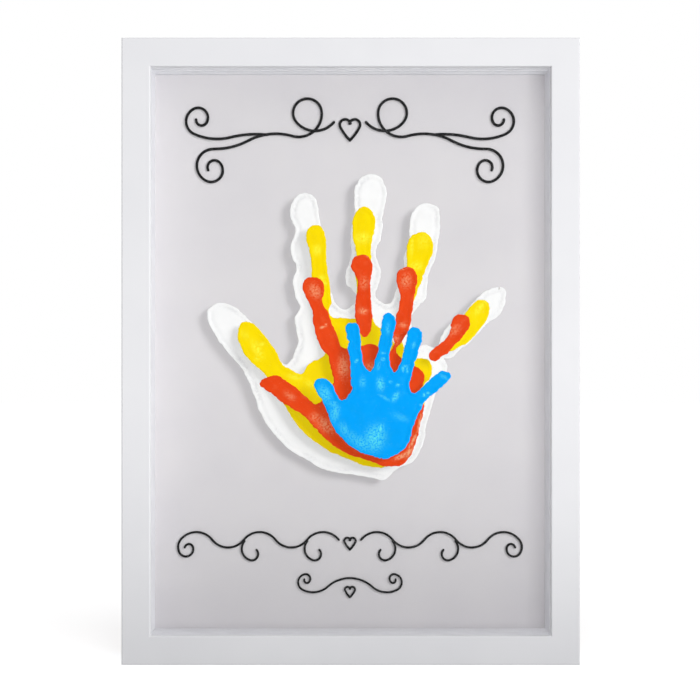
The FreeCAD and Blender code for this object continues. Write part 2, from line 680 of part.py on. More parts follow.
knuckle = side_sketch(plate, "-knuckle_length / 2")
add_circle(knuckle, f"{knuckle_bore} + knuckle_wall", ring_lift, "0")
pad(plate, knuckle, "knuckle_length", forward=True)
bore = side_sketch(plate, "knuckle_length / 2 + overrun")
add_circle(bore, knuckle_bore, ring_lift, "0")
pocket(plate, bore, "knuckle_length + 2 * overrun")

ring = doc.addObject("Part::Torus", "hanger_ring")
ring.Label = "hanger_ring"
ring.setExpression("Radius1", size("ring_radius"))
ring.setExpression("Radius2", size("ring_wire_radius"))
ring.Placement = FreeCAD.Placement(FreeCAD.Vector(), FreeCAD.Rotation(FreeCAD.Vector(1, 0, 0), 90))
ring.setExpression(".Placement.Base.y", size(f"{back_y} + {ring_lift}"))
ring.setExpression(".Placement.Base.z", size(f"{hanger_z} - ring_radius"))
sub_parts.append(ring)


# Rubber bumpers that hold the bottom off the wall

bumpers = new_body("wall_bumpers", "0", back_y, edge_line)
outline = new_sketch(bumpers)
add_circle(outline, "bumper_radius", f"{outer_width} / 2 - bumper_inset", "0")
disc = pad(bumpers, outline, "bumper_height")
crown = finish_edges(bumpers, "Fillet", "bumper_round", lambda edge: at_depth(edge, "bumper_height"))
mirror_over(bumpers, [disc, crown], ["YZ_Plane"])


doc.recompute()
failed = [item.Label for item in doc.Objects if "Invalid" in item.State or "Error" in item.State]
if failed:
    raise RuntimeError(f"These features failed: {failed}")
os.makedirs("parts", exist_ok=True)
for part in sub_parts:
    shape = part.Shape
    if shape.isNull() or not shape.isValid() or not shape.Solids:
        raise RuntimeError(f"{part.Label} is not a valid solid")
    shape.exportStep(f"parts/{part.Label}.step")
    print(part.Label, len(shape.Solids), "solids", round(shape.Volume), "mm3")
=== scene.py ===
# A deep white picture frame with four painted handprints on clear sheets, one behind the other.
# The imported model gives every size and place. Lengths are metres, Z is up and the frame faces -Y.

import math

import bpy
import numpy as np
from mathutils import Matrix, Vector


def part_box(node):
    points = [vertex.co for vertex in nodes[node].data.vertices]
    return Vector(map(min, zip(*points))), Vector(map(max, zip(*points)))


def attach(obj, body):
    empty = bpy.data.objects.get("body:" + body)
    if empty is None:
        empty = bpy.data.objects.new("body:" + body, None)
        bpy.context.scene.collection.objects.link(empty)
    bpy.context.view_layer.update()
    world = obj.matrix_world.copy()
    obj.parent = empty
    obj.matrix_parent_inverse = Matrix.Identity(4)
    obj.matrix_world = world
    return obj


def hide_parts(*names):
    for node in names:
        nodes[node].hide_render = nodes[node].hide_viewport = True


millimetre = 0.001
pictureWidth = 700.0  # pixels of the photograph, which is square
sensorWidth = 36.0  # millimetres, as the lens is
white = (1.0, 1.0, 1.0, 1.0)
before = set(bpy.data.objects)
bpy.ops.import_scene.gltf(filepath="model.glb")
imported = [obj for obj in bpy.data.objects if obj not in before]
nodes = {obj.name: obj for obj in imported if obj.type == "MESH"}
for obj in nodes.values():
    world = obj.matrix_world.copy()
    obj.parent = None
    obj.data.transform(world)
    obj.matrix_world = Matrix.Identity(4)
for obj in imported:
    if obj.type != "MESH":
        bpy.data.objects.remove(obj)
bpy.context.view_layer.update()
print("frame loaded with", len(nodes), "nodes")


# Camera: level and square to the frame, a little left of its middle and below it. The small shift puts the
# frame in the middle of the picture.
cameraSet = {
    "place": (-0.014, -0.940, 0.181),
    "lens": 78.6,
    "shift": (0.0322, 0.0203),
}


def makeCamera(values):
    lens = bpy.data.cameras.new("photoCamera")
    lens.lens = values["lens"]
    lens.shift_x, lens.shift_y = values["shift"]
    camera = bpy.data.objects.new("photoCamera", lens)
    camera.location = values["place"]
    camera.rotation_euler = (math.radians(90.0), 0.0, 0.0)
    bpy.context.scene.collection.objects.link(camera)
    bpy.context.scene.camera = camera


makeCamera(cameraSet)


def linear(value):
    # One channel of a screen colour, 0 to 255, as light from 0 to 1, by the sRGB curve.
    share = value / 255.0
    return share / 12.92 if share < 0.04045 else ((share + 0.055) / 1.055) ** 2.4


def tint(red, green, blue):
    return (linear(red), linear(green), linear(blue), 1.0)


class Wire:
    # A shader socket. The operators add Math nodes to its tree, and node() adds any other kind.
    def __init__(self, tree, socket=None):
        self.tree = tree
        self.socket = socket

    def node(self, kind, settings, sockets, output=0):
        made = self.tree.nodes.new(kind)
        for name, value in settings.items():
            setattr(made, name, value)
        for name, value in sockets.items():
            if isinstance(value, Wire):
                self.tree.links.new(value.socket, made.inputs[name])
            else:
                made.inputs[name].default_value = value
        return Wire(self.tree, made.outputs[output] if len(made.outputs) else None)

    def calculate(self, operation, first, second, clamp=False):
        settings = {"operation": operation, "use_clamp": clamp}
        return self.node("ShaderNodeMath", settings, {0: first, 1: second})

    def __add__(self, other):
        return self.calculate("ADD", self, other)

    def __radd__(self, other):
        return self.calculate("ADD", other, self)

    def __sub__(self, other):
        return self.calculate("SUBTRACT", self, other)

    def __rsub__(self, other):
        return self.calculate("SUBTRACT", other, self)

    def __mul__(self, other):
        return self.calculate("MULTIPLY", self, other)

    def __rmul__(self, other):
        return self.calculate("MULTIPLY", other, self)

    def __pow__(self, other):
        return self.calculate("POWER", self, other)

    def clamped(self):
        return self.calculate("ADD", self, 0.0, clamp=True)


def startMaterial(name):
    material = bpy.data.materials.new(name)
    material.use_nodes = True
    material.node_tree.nodes.clear()
    tools = Wire(material.node_tree)
    return material, tools, tools.node("ShaderNodeTexCoord", {}, {}, "Object")


def noise(tools, place, size, detail=3.0, roughness=0.55, stretch=(1.0, 1.0, 1.0)):
    # Cloudy noise from 0 to 1. size is that of its largest clouds in metres.
    stretched = tools.node("ShaderNodeMapping", {}, {"Vector": place, "Scale": stretch})
    sockets = {"Vector": stretched, "Scale": 1.0 / size, "Detail": detail, "Roughness": roughness}
    return tools.node("ShaderNodeTexNoise", {}, sockets)


def spread(share, gain):
    # The share with its distance from a half multiplied by gain.
    return ((share - 0.5) * gain + 0.5).clamped()


def above(share, start, gain):
    # 0 up to start, then rising by gain up to 1.
    return ((share - start) * gain).clamped()


def mixColours(tools, share, first, second):
    return tools.node("ShaderNodeMix", {"data_type": "RGBA"}, {0: share, 6: first, 7: second}, 2)


def relief(tools, height, depth, normal=None):
    # A bump whose height, from 0 to 1, stands for depth metres.
    sockets = {"Height": height, "Distance": depth, "Strength": 1.0}
    if normal is not None:
        sockets["Normal"] = normal
    return tools.node("ShaderNodeBump", {}, sockets)


def surfaceOf(material, tools, shader):
    tools.node("ShaderNodeOutputMaterial", {}, {"Surface": shader})
    return material


def finish(material, tools, sockets):
    return surfaceOf(material, tools, tools.node("ShaderNodeBsdfPrincipled", {}, sockets))


# Painted wood: satin white over a fine grain that runs along the rail. The back stays raw wood, and the paint
# ends there in a brushed edge.
railFinish = {
    "paint": tint(234, 234, 236), "paintDeep": tint(228, 228, 231), "cloudSize": 45.0 * millimetre,
    "cloudGain": 1.6, "peelSize": 1.6 * millimetre, "reliefDepth": 0.018 * millimetre, "grainRelief": 0.5,
    "wood": tint(214, 182, 138), "woodDark": tint(170, 126, 82), "ringFrom": 0.35, "ringGain": 2.2,
    "grainLength": 60.0 * millimetre, "grainWidth": 0.9 * millimetre,
    "rawBehind": 15.2 * millimetre, "brushSize": 0.4 * millimetre, "brushReach": 0.3 * millimetre,
    "rawGain": 9000.0, "rawRougher": 0.3, "roughness": 0.42, "roughnessSpread": 0.16, "shine": 0.3,
}


def railMaterial(name, alongX, values):
    material, tools, place = startMaterial(name)
    squeeze = values["grainWidth"] / values["grainLength"]
    stretch = (squeeze, 1.0, 1.0) if alongX else (1.0, 1.0, squeeze)
    grain = noise(tools, place, values["grainWidth"], detail=4.0, roughness=0.6, stretch=stretch)
    clouds = noise(tools, place, values["cloudSize"], detail=2.0)
    peel = noise(tools, place, values["peelSize"], detail=2.0)
    depth = tools.node("ShaderNodeSeparateXYZ", {}, {"Vector": place}, "Y")
    brushed = noise(tools, place, values["brushSize"], detail=2.0)
    behind = depth - values["rawBehind"] + (brushed - 0.5) * values["brushReach"]
    raw = (behind * values["rawGain"]).clamped()
    paint = mixColours(tools, spread(clouds, values["cloudGain"]), values["paint"], values["paintDeep"])
    rings = above(grain, values["ringFrom"], values["ringGain"])
    wood = mixColours(tools, rings, values["woodDark"], values["wood"])
    roughness = values["roughness"] + (peel - 0.5) * values["roughnessSpread"] + raw * values["rawRougher"]
    return finish(material, tools, {
        "Base Color": mixColours(tools, raw, paint, wood),
        "Roughness": roughness,
        "Specular IOR Level": values["shine"],
        "Normal": relief(tools, grain * values["grainRelief"] + peel, values["reliefDepth"]),
    })


# Clear sheets: seen straight on they only let light through, and they mirror at a low angle.
clearFinish = {
    "glassTint": (0.997, 0.999, 0.998, 1.0),
    "acrylicTint": (0.9995, 0.9995, 0.9995, 1.0),
    "mirrorTint": (0.95, 0.95, 0.95, 1.0),
    "straight": 0.0001, "grazing": 0.55, "grazingPower": 5.0,
    "waveSize": 30.0 * millimetre, "waveDepth": 0.05 * millimetre, "roughness": 0.04,
}


def clearMaterial(name, colour, values):
    material, tools, place = startMaterial(name)
    facing = tools.node("ShaderNodeLayerWeight", {}, {}, "Facing")
    share = values["straight"] + values["grazing"] * facing ** values["grazingPower"]
    wave = noise(tools, place, values["waveSize"], detail=1.0)
    mirror = tools.node("ShaderNodeBsdfAnisotropic", {}, {
        "Color": values["mirrorTint"],
        "Roughness": values["roughness"],
        "Normal": relief(tools, wave, values["waveDepth"]),
    })
    through = tools.node("ShaderNodeBsdfTransparent", {}, {"Color": colour})
    mixed = tools.node("ShaderNodeMixShader", {}, {0: share, 1: through, 2: mirror})
    return surfaceOf(material, tools, mixed)


# Dull finishes: a colour with clouds, specks and a fine relief, for what is moulded, pressed or rolled. Their
# sizes and depths are in millimetres.
dullPattern = {"cloudGain": 2.2, "speckFrom": 0.56, "speckGain": 8.0, "roughnessSpread": 0.2}
spacerFinish = {
    "name": "spacerPlastic", "colour": tint(234, 234, 237), "cloud": tint(228, 228, 232), "cloudSize": 25.0,
    "speck": tint(216, 216, 220), "speckSize": 0.5, "speckStrength": 0.48, "roughness": 0.62, "shine": 0.25,
    "reliefSize": 0.35, "relief": 0.012, "metal": 0.0,
}
cardFinish = {
    "name": "greyCard", "colour": tint(220, 217, 219), "cloud": tint(216, 213, 216), "cloudSize": 30.0,
    "speck": tint(208, 207, 212), "speckSize": 0.7, "speckStrength": 0.4, "roughness": 0.86, "shine": 0.12,
    "reliefSize": 0.6, "relief": 0.02, "metal": 0.0,
}
vinylFinish = {
    "name": "blackVinyl", "colour": tint(13, 13, 15), "cloud": tint(18, 18, 20), "cloudSize": 9.0,
    "speck": tint(34, 34, 37), "speckSize": 0.5, "speckStrength": 0.6, "roughness": 0.55, "shine": 0.16,
    "reliefSize": 0.5, "relief": 0.01, "metal": 0.0,
}
rubberFinish = {
    "name": "bumperRubber", "colour": tint(34, 33, 33), "cloud": tint(44, 42, 41), "cloudSize": 4.0,
    "speck": tint(70, 68, 66), "speckSize": 0.35, "speckStrength": 0.72, "roughness": 0.72, "shine": 0.3,
    "reliefSize": 0.4, "relief": 0.03, "metal": 0.0,
}
nailFinish = {
    "name": "nailSteel", "colour": tint(150, 152, 156), "cloud": tint(112, 112, 115), "cloudSize": 1.2,
    "speck": tint(90, 80, 70), "speckSize": 0.3, "speckStrength": 0.8, "roughness": 0.36, "shine": 0.5,
    "reliefSize": 0.3, "relief": 0.012, "metal": 1.0,
}
zincFinish = {
    "name": "zincSteel", "colour": tint(196, 199, 203), "cloud": tint(160, 165, 172), "cloudSize": 2.4,
    "speck": tint(222, 222, 216), "speckSize": 0.5, "speckStrength": 1.2, "roughness": 0.33, "shine": 0.5,
    "reliefSize": 0.5, "relief": 0.01, "metal": 1.0,
}
brassFinish = {
    "name": "brassPlate", "colour": tint(214, 176, 96), "cloud": tint(186, 146, 72), "cloudSize": 3.0,
    "speck": tint(140, 104, 52), "speckSize": 0.4, "speckStrength": 0.6, "roughness": 0.28, "shine": 0.5,
    "reliefSize": 0.4, "relief": 0.008, "metal": 1.0,
}


def dullMaterial(values, pattern=dullPattern):
    material, tools, place = startMaterial(values["name"])
    clouds = noise(tools, place, values["cloudSize"] * millimetre, detail=4.0)
    specks = noise(tools, place, values["speckSize"] * millimetre, detail=2.0)
    fine = noise(tools, place, values["reliefSize"] * millimetre)
    colour = mixColours(tools, spread(clouds, pattern["cloudGain"]), values["colour"], values["cloud"])
    spotted = above(specks, pattern["speckFrom"], pattern["speckGain"]) * values["speckStrength"]
    return finish(material, tools, {
        "Base Color": mixColours(tools, spotted.clamped(), colour, values["speck"]),
        "Metallic": values["metal"],
        "Roughness": values["roughness"] + (clouds - 0.5) * pattern["roughnessSpread"],
        "Specular IOR Level": values["shine"],
        "Normal": relief(tools, fine, values["relief"] * millimetre),
    })


# Hardboard: brown pressed fibre with the print of the press screen, a fine square mesh.
boardFinish = {
    "colour": tint(139, 98, 62), "dark": tint(98, 64, 38), "cloudSize": 18.0 * millimetre,
    "fibre": tint(176, 136, 92), "fibreFrom": 1.12, "fibreGain": 5.0, "fibreDepth": 0.04 * millimetre,
    "fibreSize": 0.5 * millimetre, "fibreStretch": (0.25, 1.0, 1.0),
    "fibreUpSize": 0.6 * millimetre, "fibreUpStretch": (1.0, 1.0, 0.22),
    "meshStep": 1.4 * millimetre, "meshDepth": 0.09 * millimetre, "meshWaver": 0.6,
    "roughness": 0.74, "roughnessSpread": 0.3, "shine": 0.25,
}


def boardMaterial(values):
    material, tools, place = startMaterial("brownHardboard")
    clouds = noise(tools, place, values["cloudSize"], detail=4.0)
    fibres = noise(tools, place, values["fibreSize"], roughness=0.6, stretch=values["fibreStretch"])
    fibresUp = noise(tools, place, values["fibreUpSize"], roughness=0.6, stretch=values["fibreUpStretch"])
    scale = math.tau / (20.0 * values["meshStep"])  # a Wave Texture turns by 20 radians a metre at scale 1
    waves = {"Vector": place, "Scale": scale, "Distortion": values["meshWaver"], "Detail": 1.0}
    across = tools.node("ShaderNodeTexWave", {"bands_direction": "X"}, waves, "Fac")
    upward = tools.node("ShaderNodeTexWave", {"bands_direction": "Z"}, waves, "Fac")
    colour = mixColours(tools, clouds, values["colour"], values["dark"])
    bright = above(fibres + fibresUp, values["fibreFrom"], values["fibreGain"])
    pressed = relief(tools, across * upward, values["meshDepth"])
    return finish(material, tools, {
        "Base Color": mixColours(tools, bright, colour, values["fibre"]),
        "Roughness": values["roughness"] + (fibres - 0.5) * values["roughnessSpread"],
        "Specular IOR Level": values["shine"],
        "Normal": relief(tools, fibres, values["fibreDepth"], pressed),
    })


# Every carried-over node gets the finish of its slot in the record. A rail's grain follows its length.
finishes = {
    "clear_glass": clearMaterial("clearGlass", clearFinish["glassTint"], clearFinish),
    "clear_acrylic": clearMaterial("clearAcrylic", clearFinish["acrylicTint"], clearFinish),
    "white_spacer_plastic": dullMaterial(spacerFinish),
    "grey_card": dullMaterial(cardFinish),
    "black_vinyl": dullMaterial(vinylFinish),
    "bumper_rubber": dullMaterial(rubberFinish),
    "nail_steel": dullMaterial(nailFinish),
    "zinc_steel": dullMaterial(zincFinish),
    "brass_plate": dullMaterial(brassFinish),
    "brown_hardboard": boardMaterial(boardFinish),
}
railAcross = railMaterial("paintedWoodAcross", True, railFinish)
railUpright = railMaterial("paintedWoodUpright", False, railFinish)
railFinishes = {
    "top_rail": railAcross, "bottom_rail": railAcross, "left_rail": railUpright, "right_rail": railUpright,
}


def dressNodes():
    for name, node in nodes.items():
        slot = node.material_slots[0]
        wanted = railFinishes.get(name) or finishes.get(slot.material.name)
        if wanted is not None:
            slot.material = wanted


dressNodes()
print("finishes set on the packed nodes")


# Raised line ornaments: a small round along their cut edges.
ornaments = ("title_ornament", "line_ornament", "foot_ornament")
ornamentEdge = {"round": 0.16 * millimetre, "steps": 2, "mergeWithin": 0.002 * millimetre, "angle": 50.0}


def roundEdges(name, values):
    weld = nodes[name].modifiers.new("weld", "WELD")
    weld.merge_threshold = values["mergeWithin"]
    bevel = nodes[name].modifiers.new("round", "BEVEL")
    bevel.width = values["round"]
    bevel.segments = values["steps"]
    bevel.limit_method = "ANGLE"
    bevel.angle_limit = math.radians(values["angle"])


for ornament in ornaments:
    roundEdges(ornament, ornamentEdge)


# Handprints. Each is a skin of paint over the flat outline of its node: a grid in x and z inside the outline,
# raised by a thickness that depends on the distance from the edge and on slow noise, rolled over at the rim
# and closed by a flat back on the sheet. The next values are what the four share. Shares with body, bead,
# trough, swell, skin and dip are of the node's thickness.
paintLayer = {
    "reach": 6.0 * millimetre,
    "waver": 0.7 * millimetre, "waverSize": 3.2 * millimetre, "jointSizeShare": 0.55, "jointShare": 0.5,
    "ragged": 0.5 * millimetre, "raggedSize": 1.0 * millimetre,
    "rimRound": 0.34 * millimetre, "rimRings": 3, "rimReachShare": 0.96,
    "beadIn": 0.95 * millimetre, "beadWide": 0.6 * millimetre, "troughInShare": 3.2, "troughWideShare": 1.7,
    "body": 0.55, "bead": 0.40, "trough": 0.14, "troughThinAndShade": 0.0, "swell": 0.30, "skin": 0.07, "dip": 0.22,
    "thinnestShare": 0.12, "thickestShare": 0.98,
    "swellSize": 8.0 * millimetre, "rippleSizeShare": 0.45, "rippleShare": 0.5, "skinSize": 1.7 * millimetre,
    "patchFall": 0.9, "patchPower": 1.3,
    "stippleSize": 1.3 * millimetre, "stippleRelief": 0.5, "dotFrom": 0.36, "dotGain": 4.5,
    "printedSize": 5.0 * millimetre, "printedFrom": 0.56, "printedGain": 1.6, "printedShare": 0.2,
    "cloudSize": 9.0 * millimetre, "cloudGain": 3.0,
    "peelSize": 0.9 * millimetre, "peelDepth": 0.02 * millimetre,
    "roughness": 0.5, "roughnessSpread": 0.25, "shine": 0.03,
}


def outlineStretches(name):
    # The straight stretches round the node's back face, as (count, 2 ends, x and z).
    mesh = nodes[name].data
    places = np.empty(len(mesh.vertices) * 3)
    mesh.vertices.foreach_get("co", places)
    corners = np.empty(len(mesh.loops), int)
    mesh.loops.foreach_get("vertex_index", corners)
    mergeStep = 0.001 * millimetre
    steps = np.round(places.reshape(-1, 3) / mergeStep).astype(int)
    unique, which = np.unique(steps, axis=0, return_inverse=True)
    triangles = which.reshape(-1)[corners].reshape(-1, 3)
    back = triangles[(unique[triangles, 1] == unique[:, 1].max()).all(axis=1)]
    edges = np.sort(np.concatenate([back[:, [0, 1]], back[:, [1, 2]], back[:, [2, 0]]]), axis=1)
    edges, uses = np.unique(edges, axis=0, return_counts=True)
    return unique[edges[uses == 1]][:, :, [0, 2]] * mergeStep


def edgeDistance(stretches, xs, zs, reach):
    # Distance from the outline on the grid, at most reach: positive inside, negative outside. A point is
    # inside where a line from the left crosses the outline an odd number of times.
    step = xs[1] - xs[0]
    distance = np.full((len(xs), len(zs)), reach)
    crossings = np.zeros((len(xs), len(zs)), int)
    for start, end in stretches:
        low = np.minimum(start, end) - reach
        high = np.maximum(start, end) + reach
        firstX, lastX = max(0, int((low[0] - xs[0]) / step)), int((high[0] - xs[0]) / step) + 2
        firstZ, lastZ = max(0, int((low[1] - zs[0]) / step)), int((high[1] - zs[0]) / step) + 2
        part = np.s_[firstX:lastX, firstZ:lastZ]
        along = end - start
        fromX = xs[firstX:lastX, None] - start[0]
        fromZ = zs[None, firstZ:lastZ] - start[1]
        share = np.clip((fromX * along[0] + fromZ * along[1]) / (along @ along), 0.0, 1.0)
        near = np.hypot(fromX - share * along[0], fromZ - share * along[1])
        distance[part] = np.minimum(distance[part], near)
        bottom, top = sorted((start[1], end[1]))
        rows = np.arange(math.ceil((bottom - zs[0]) / step), math.ceil((top - zs[0]) / step))
        if len(rows):
            crossed = start[0] + (zs[rows] - start[1]) / along[1] * along[0]
            np.add.at(crossings, (np.ceil((crossed - xs[0]) / step).astype(int), rows), 1)
    inside = np.cumsum(crossings, axis=0) % 2 == 1
    return np.where(inside, distance, -distance)


def slowNoise(x, z, size, seed, cosine=1.0, sine=0.0):
    # Smooth noise from -0.5 to 0.5: random values on a lattice of that size, turned by the angle of that
    # cosine and sine, and blended between its corners by u^2 (3 - 2u).
    count, start = 256, 100.0
    lattice = np.random.default_rng(seed).random((count + 1, count + 1))
    column = (cosine * x + sine * z) / size + start
    row = (cosine * z - sine * x) / size + start
    c, r = np.floor(column).astype(int), np.floor(row).astype(int)
    u, v = column - c, row - r
    u, v = u * u * (3.0 - 2.0 * u), v * v * (3.0 - 2.0 * v)
    c, r = c % count, r % count
    lower = lattice[c, r] * (1.0 - u) + lattice[c + 1, r] * u
    upper = lattice[c, r + 1] * (1.0 - u) + lattice[c + 1, r + 1] * u
    return lower * (1.0 - v) + upper * v - 0.5


def pictureScale(depth):
    # Metres across the whole picture on the upright plane at that y.
    return sensorWidth / cameraSet["lens"] * (depth - cameraSet["place"][1])


def fromPhoto(column, row, depth):
    # x and z of a pixel of the photograph on the upright plane at that y.
    shiftX, shiftZ = cameraSet["shift"]
    x = cameraSet["place"][0] + (column / pictureWidth - 0.5 + shiftX) * pictureScale(depth)
    z = cameraSet["place"][2] + (0.5 - row / pictureWidth + shiftZ) * pictureScale(depth)
    return x, z


def patchShare(x, z, depth, values):
    # How pale the paint shows, 0 to 1, from soft ellipses of thin paint and, on the red print, of painted
    # highlights: strength times exp(-fall d^(2 power)), with d the distance in half lengths and half widths.
    # Each patch is its middle, half length and half width in pixels, the turn of its length in degrees and
    # its strength.
    thin = np.zeros_like(x)
    pixel = pictureScale(depth) / pictureWidth
    for column, row, length, width, turn, strength in values["thinAndPaintedLightPatches"]:
        middleX, middleZ = fromPhoto(column, row, depth)
        c, s = math.cos(math.radians(turn)), math.sin(math.radians(turn))
        along = ((x - middleX) * c + (z - middleZ) * s) / (length * pixel)
        across = ((z - middleZ) * c - (x - middleX) * s) / (width * pixel)
        squared = along ** 2 + across ** 2
        thin = np.maximum(thin, strength * np.exp(-values["patchFall"] * squared ** values["patchPower"]))
    return thin


def paintGrid(name, values):
    # x and z of a grid over the print, and the distance in from its edge, which wavers: two slow noises whose
    # lattices are turned bend it, and a finer one makes it ragged.
    low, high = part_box(name)
    step, seed = values["gridStep"], values["seed"]
    xs = np.arange(low.x - 2 * step, high.x + 3 * step, step)
    zs = np.arange(low.z - 2 * step, high.z + 3 * step, step)
    x, z = np.meshgrid(xs, zs, indexing="ij")
    waver = slowNoise(x, z, values["waverSize"], seed + 5, 0.8, 0.6)
    joints = slowNoise(x, z, values["waverSize"] * values["jointSizeShare"], seed + 7, 0.6, -0.8)
    ragged = slowNoise(x, z, values["raggedSize"], seed + 6)
    field = edgeDistance(outlineStretches(name), xs, zs, values["reach"])
    bent = values["waver"] * (waver + values["jointShare"] * joints)
    return x, z, field + bent + values["ragged"] * ragged


def insideCells(field, inset):
    # Cells whose four corners are inside. Two that only share a corner would pinch the rim, so one goes.
    solid = field > inset
    cells = solid[:-1, :-1] & solid[1:, :-1] & solid[:-1, 1:] & solid[1:, 1:]
    pinched = True
    while pinched:
        a, b, c, d = cells[:-1, :-1], cells[1:, :-1], cells[:-1, 1:], cells[1:, 1:]
        rising, falling = a & d & ~b & ~c, b & c & ~a & ~d
        pinched = bool(rising.any() or falling.any())
        d[rising] = False
        c[falling] = False
    return cells


def numberCorners(cells):
    # The grid points that the cells use, and each cell as the numbers of its four.
    used = np.zeros((cells.shape[0] + 1, cells.shape[1] + 1), bool)
    for part in (np.s_[:-1, :-1], np.s_[1:, :-1], np.s_[:-1, 1:], np.s_[1:, 1:]):
        used[part] |= cells
    number = np.cumsum(used.ravel()).reshape(used.shape) - 1
    i, j = np.nonzero(cells)
    return used, np.stack([number[i, j], number[i + 1, j], number[i + 1, j + 1], number[i, j + 1]], axis=1)


def rimEdges(quads, total):
    # The edges that one cell alone has. They run with the paint on their left.
    edges = np.concatenate([quads[:, [0, 1]], quads[:, [1, 2]], quads[:, [2, 3]], quads[:, [3, 0]]])
    edges = edges.astype(np.int64)
    forward, backward = edges[:, 0] * total + edges[:, 1], edges[:, 1] * total + edges[:, 0]
    return edges[~np.isin(forward, backward)]


def paintShares(x, z, depthIn, depth, values):
    # Thickness as a share of the node's, and how pale the paint shows: thin paint, painted highlights on the
    # red print and painted shade in the white print's rim band. Thickness is the body, plus a bead along the
    # edge, less a shallow trough inside it, both exp(-((in - middle) / width)^2), plus slow swells and a
    # finer skin, less a dip where the paint shows pale.
    beadIn, beadWide = values["beadIn"], values["beadWide"]
    troughIn, troughWide = beadIn * values["troughInShare"], beadWide * values["troughWideShare"]
    bead = np.exp(-((depthIn - beadIn) / beadWide) ** 2)
    trough = np.exp(-((depthIn - troughIn) / troughWide) ** 2)
    swell = slowNoise(x, z, values["swellSize"], values["seed"] + 1)
    ripples = slowNoise(x, z, values["swellSize"] * values["rippleSizeShare"], values["seed"] + 2)
    swell += values["rippleShare"] * ripples
    skin = slowNoise(x, z, values["skinSize"], values["seed"] + 3)
    # For the white print the band in the trough goes pale grey: thin paint and painted shade of the rim.
    thin = np.maximum(patchShare(x, z, depth, values), values["troughThinAndShade"] * trough * (0.5 + swell))
    share = values["body"] + values["bead"] * bead - values["trough"] * trough
    share = share + values["swell"] * swell + values["skin"] * skin - values["dip"] * thin
    return np.clip(share, values["thinnestShare"], values["thickestShare"]), thin


def closeSkin(x, z, inX, inZ, thick, back, quads, rim, values):
    # Places and faces: the front, rings that roll over the rim along a quarter ellipse, and the flat back.
    onRim = np.isin(np.arange(len(x)), rim)
    ringIndex = np.cumsum(onRim) - 1
    places, faces = [np.stack([x, back - thick, z], axis=1)], [quads]
    start, end = rim[:, 0], rim[:, 1]
    previous, placed = np.arange(len(x)), len(x)
    for turn in np.linspace(0.0, math.pi / 2, values["rimRings"] + 1)[1:]:
        out = values["rimRound"] * values["rimReachShare"] * math.sin(turn)
        fall = thick[onRim] * math.cos(turn)
        places.append(np.stack([(x - inX * out)[onRim], back - fall, (z - inZ * out)[onRim]], axis=1))
        current = ringIndex + placed
        faces.append(np.stack([previous[end], previous[start], current[start], current[end]], axis=1))
        previous, placed = current, placed + len(places[-1])
    flat = ~onRim
    flatIndex = np.cumsum(flat) - 1 + placed
    places.append(np.stack([x[flat], np.full(int(flat.sum()), back), z[flat]], axis=1))
    faces.append(np.where(onRim, previous, flatIndex)[quads[:, ::-1]])
    return np.concatenate(places), np.concatenate(faces)


def paintMaterial(values):
    material, tools, place = startMaterial(values["piece"] + "_finish")
    thin = tools.node("ShaderNodeAttribute", {"attribute_name": "thin"}, {}, "Fac")
    stipple = noise(tools, place, values["stippleSize"], roughness=0.6)
    clouds = noise(tools, place, values["cloudSize"], detail=4.0, roughness=0.6)
    peel = noise(tools, place, values["peelSize"])
    printed = noise(tools, place, values["printedSize"], roughness=0.6)
    # Pale where the share is high: thin paint, painted highlights on red fingertips, painted shade in white's
    # rim band.
    dots = thin * above(stipple, values["dotFrom"], values["dotGain"])
    worn = above(printed, values["printedFrom"], values["printedGain"]) * values["printedShare"]
    colour = mixColours(tools, spread(clouds, values["cloudGain"]), values["colour"], values["cloud"])
    return finish(material, tools, {
        "Base Color": mixColours(tools, (dots + worn).clamped(), colour, values["pale"]),
        "Roughness": values["roughness"] + (peel - 0.5) * values["roughnessSpread"],
        "Specular IOR Level": values["shine"],
        "Normal": relief(tools, peel + stipple * values["stippleRelief"], values["peelDepth"]),
    })


def addPrint(name, places, faces, thin, values):
    mesh = bpy.data.meshes.new(name + "_paint")
    mesh.vertices.add(len(places))
    mesh.vertices.foreach_set("co", places.ravel())
    mesh.loops.add(faces.size)
    mesh.loops.foreach_set("vertex_index", faces.ravel())
    mesh.polygons.add(len(faces))
    mesh.polygons.foreach_set("loop_start", np.arange(0, faces.size, 4))
    mesh.update(calc_edges=True)
    mesh.validate()
    mesh.polygons.foreach_set("use_smooth", np.ones(len(mesh.polygons), bool))
    thinValues = np.zeros(len(places), np.float32)
    thinValues[:len(thin)] = thin
    mesh.attributes.new("thin", "FLOAT", "POINT").data.foreach_set("value", thinValues)
    mesh.materials.append(paintMaterial(values))
    piece = bpy.data.objects.new(values["piece"], mesh)
    bpy.context.scene.collection.objects.link(piece)
    piece.visible_diffuse = False  # the prints throw no colour on each other, nor does the photo show any
    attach(piece, "root")
    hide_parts(name)
    print(values["piece"], "has", len(faces) * 2, "triangles")


def makePrint(name, values):
    low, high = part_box(name)
    inset = values["rimRound"]
    x, z, field = paintGrid(name, values)
    used, quads = numberCorners(insideCells(field, inset))
    rim = rimEdges(quads, int(used.sum()))
    onRim = np.isin(np.arange(int(used.sum())), rim)
    slopeX, slopeZ = np.gradient(field, values["gridStep"])
    length = np.maximum(np.hypot(slopeX, slopeZ), 1e-6)  # never divides by nothing
    inX, inZ = (slopeX / length)[used], (slopeZ / length)[used]
    move = np.where(onRim, field[used] - inset, 0.0)  # the rim's corners go out onto the inset outline
    x, z = x[used] - inX * move, z[used] - inZ * move
    share, thin = paintShares(x, z, np.where(onRim, inset, field[used]), low.y, values)
    places, faces = closeSkin(x, z, inX, inZ, (high.y - low.y) * share, high.y, quads, rim, values)
    addPrint(name, places, faces, thin, values)


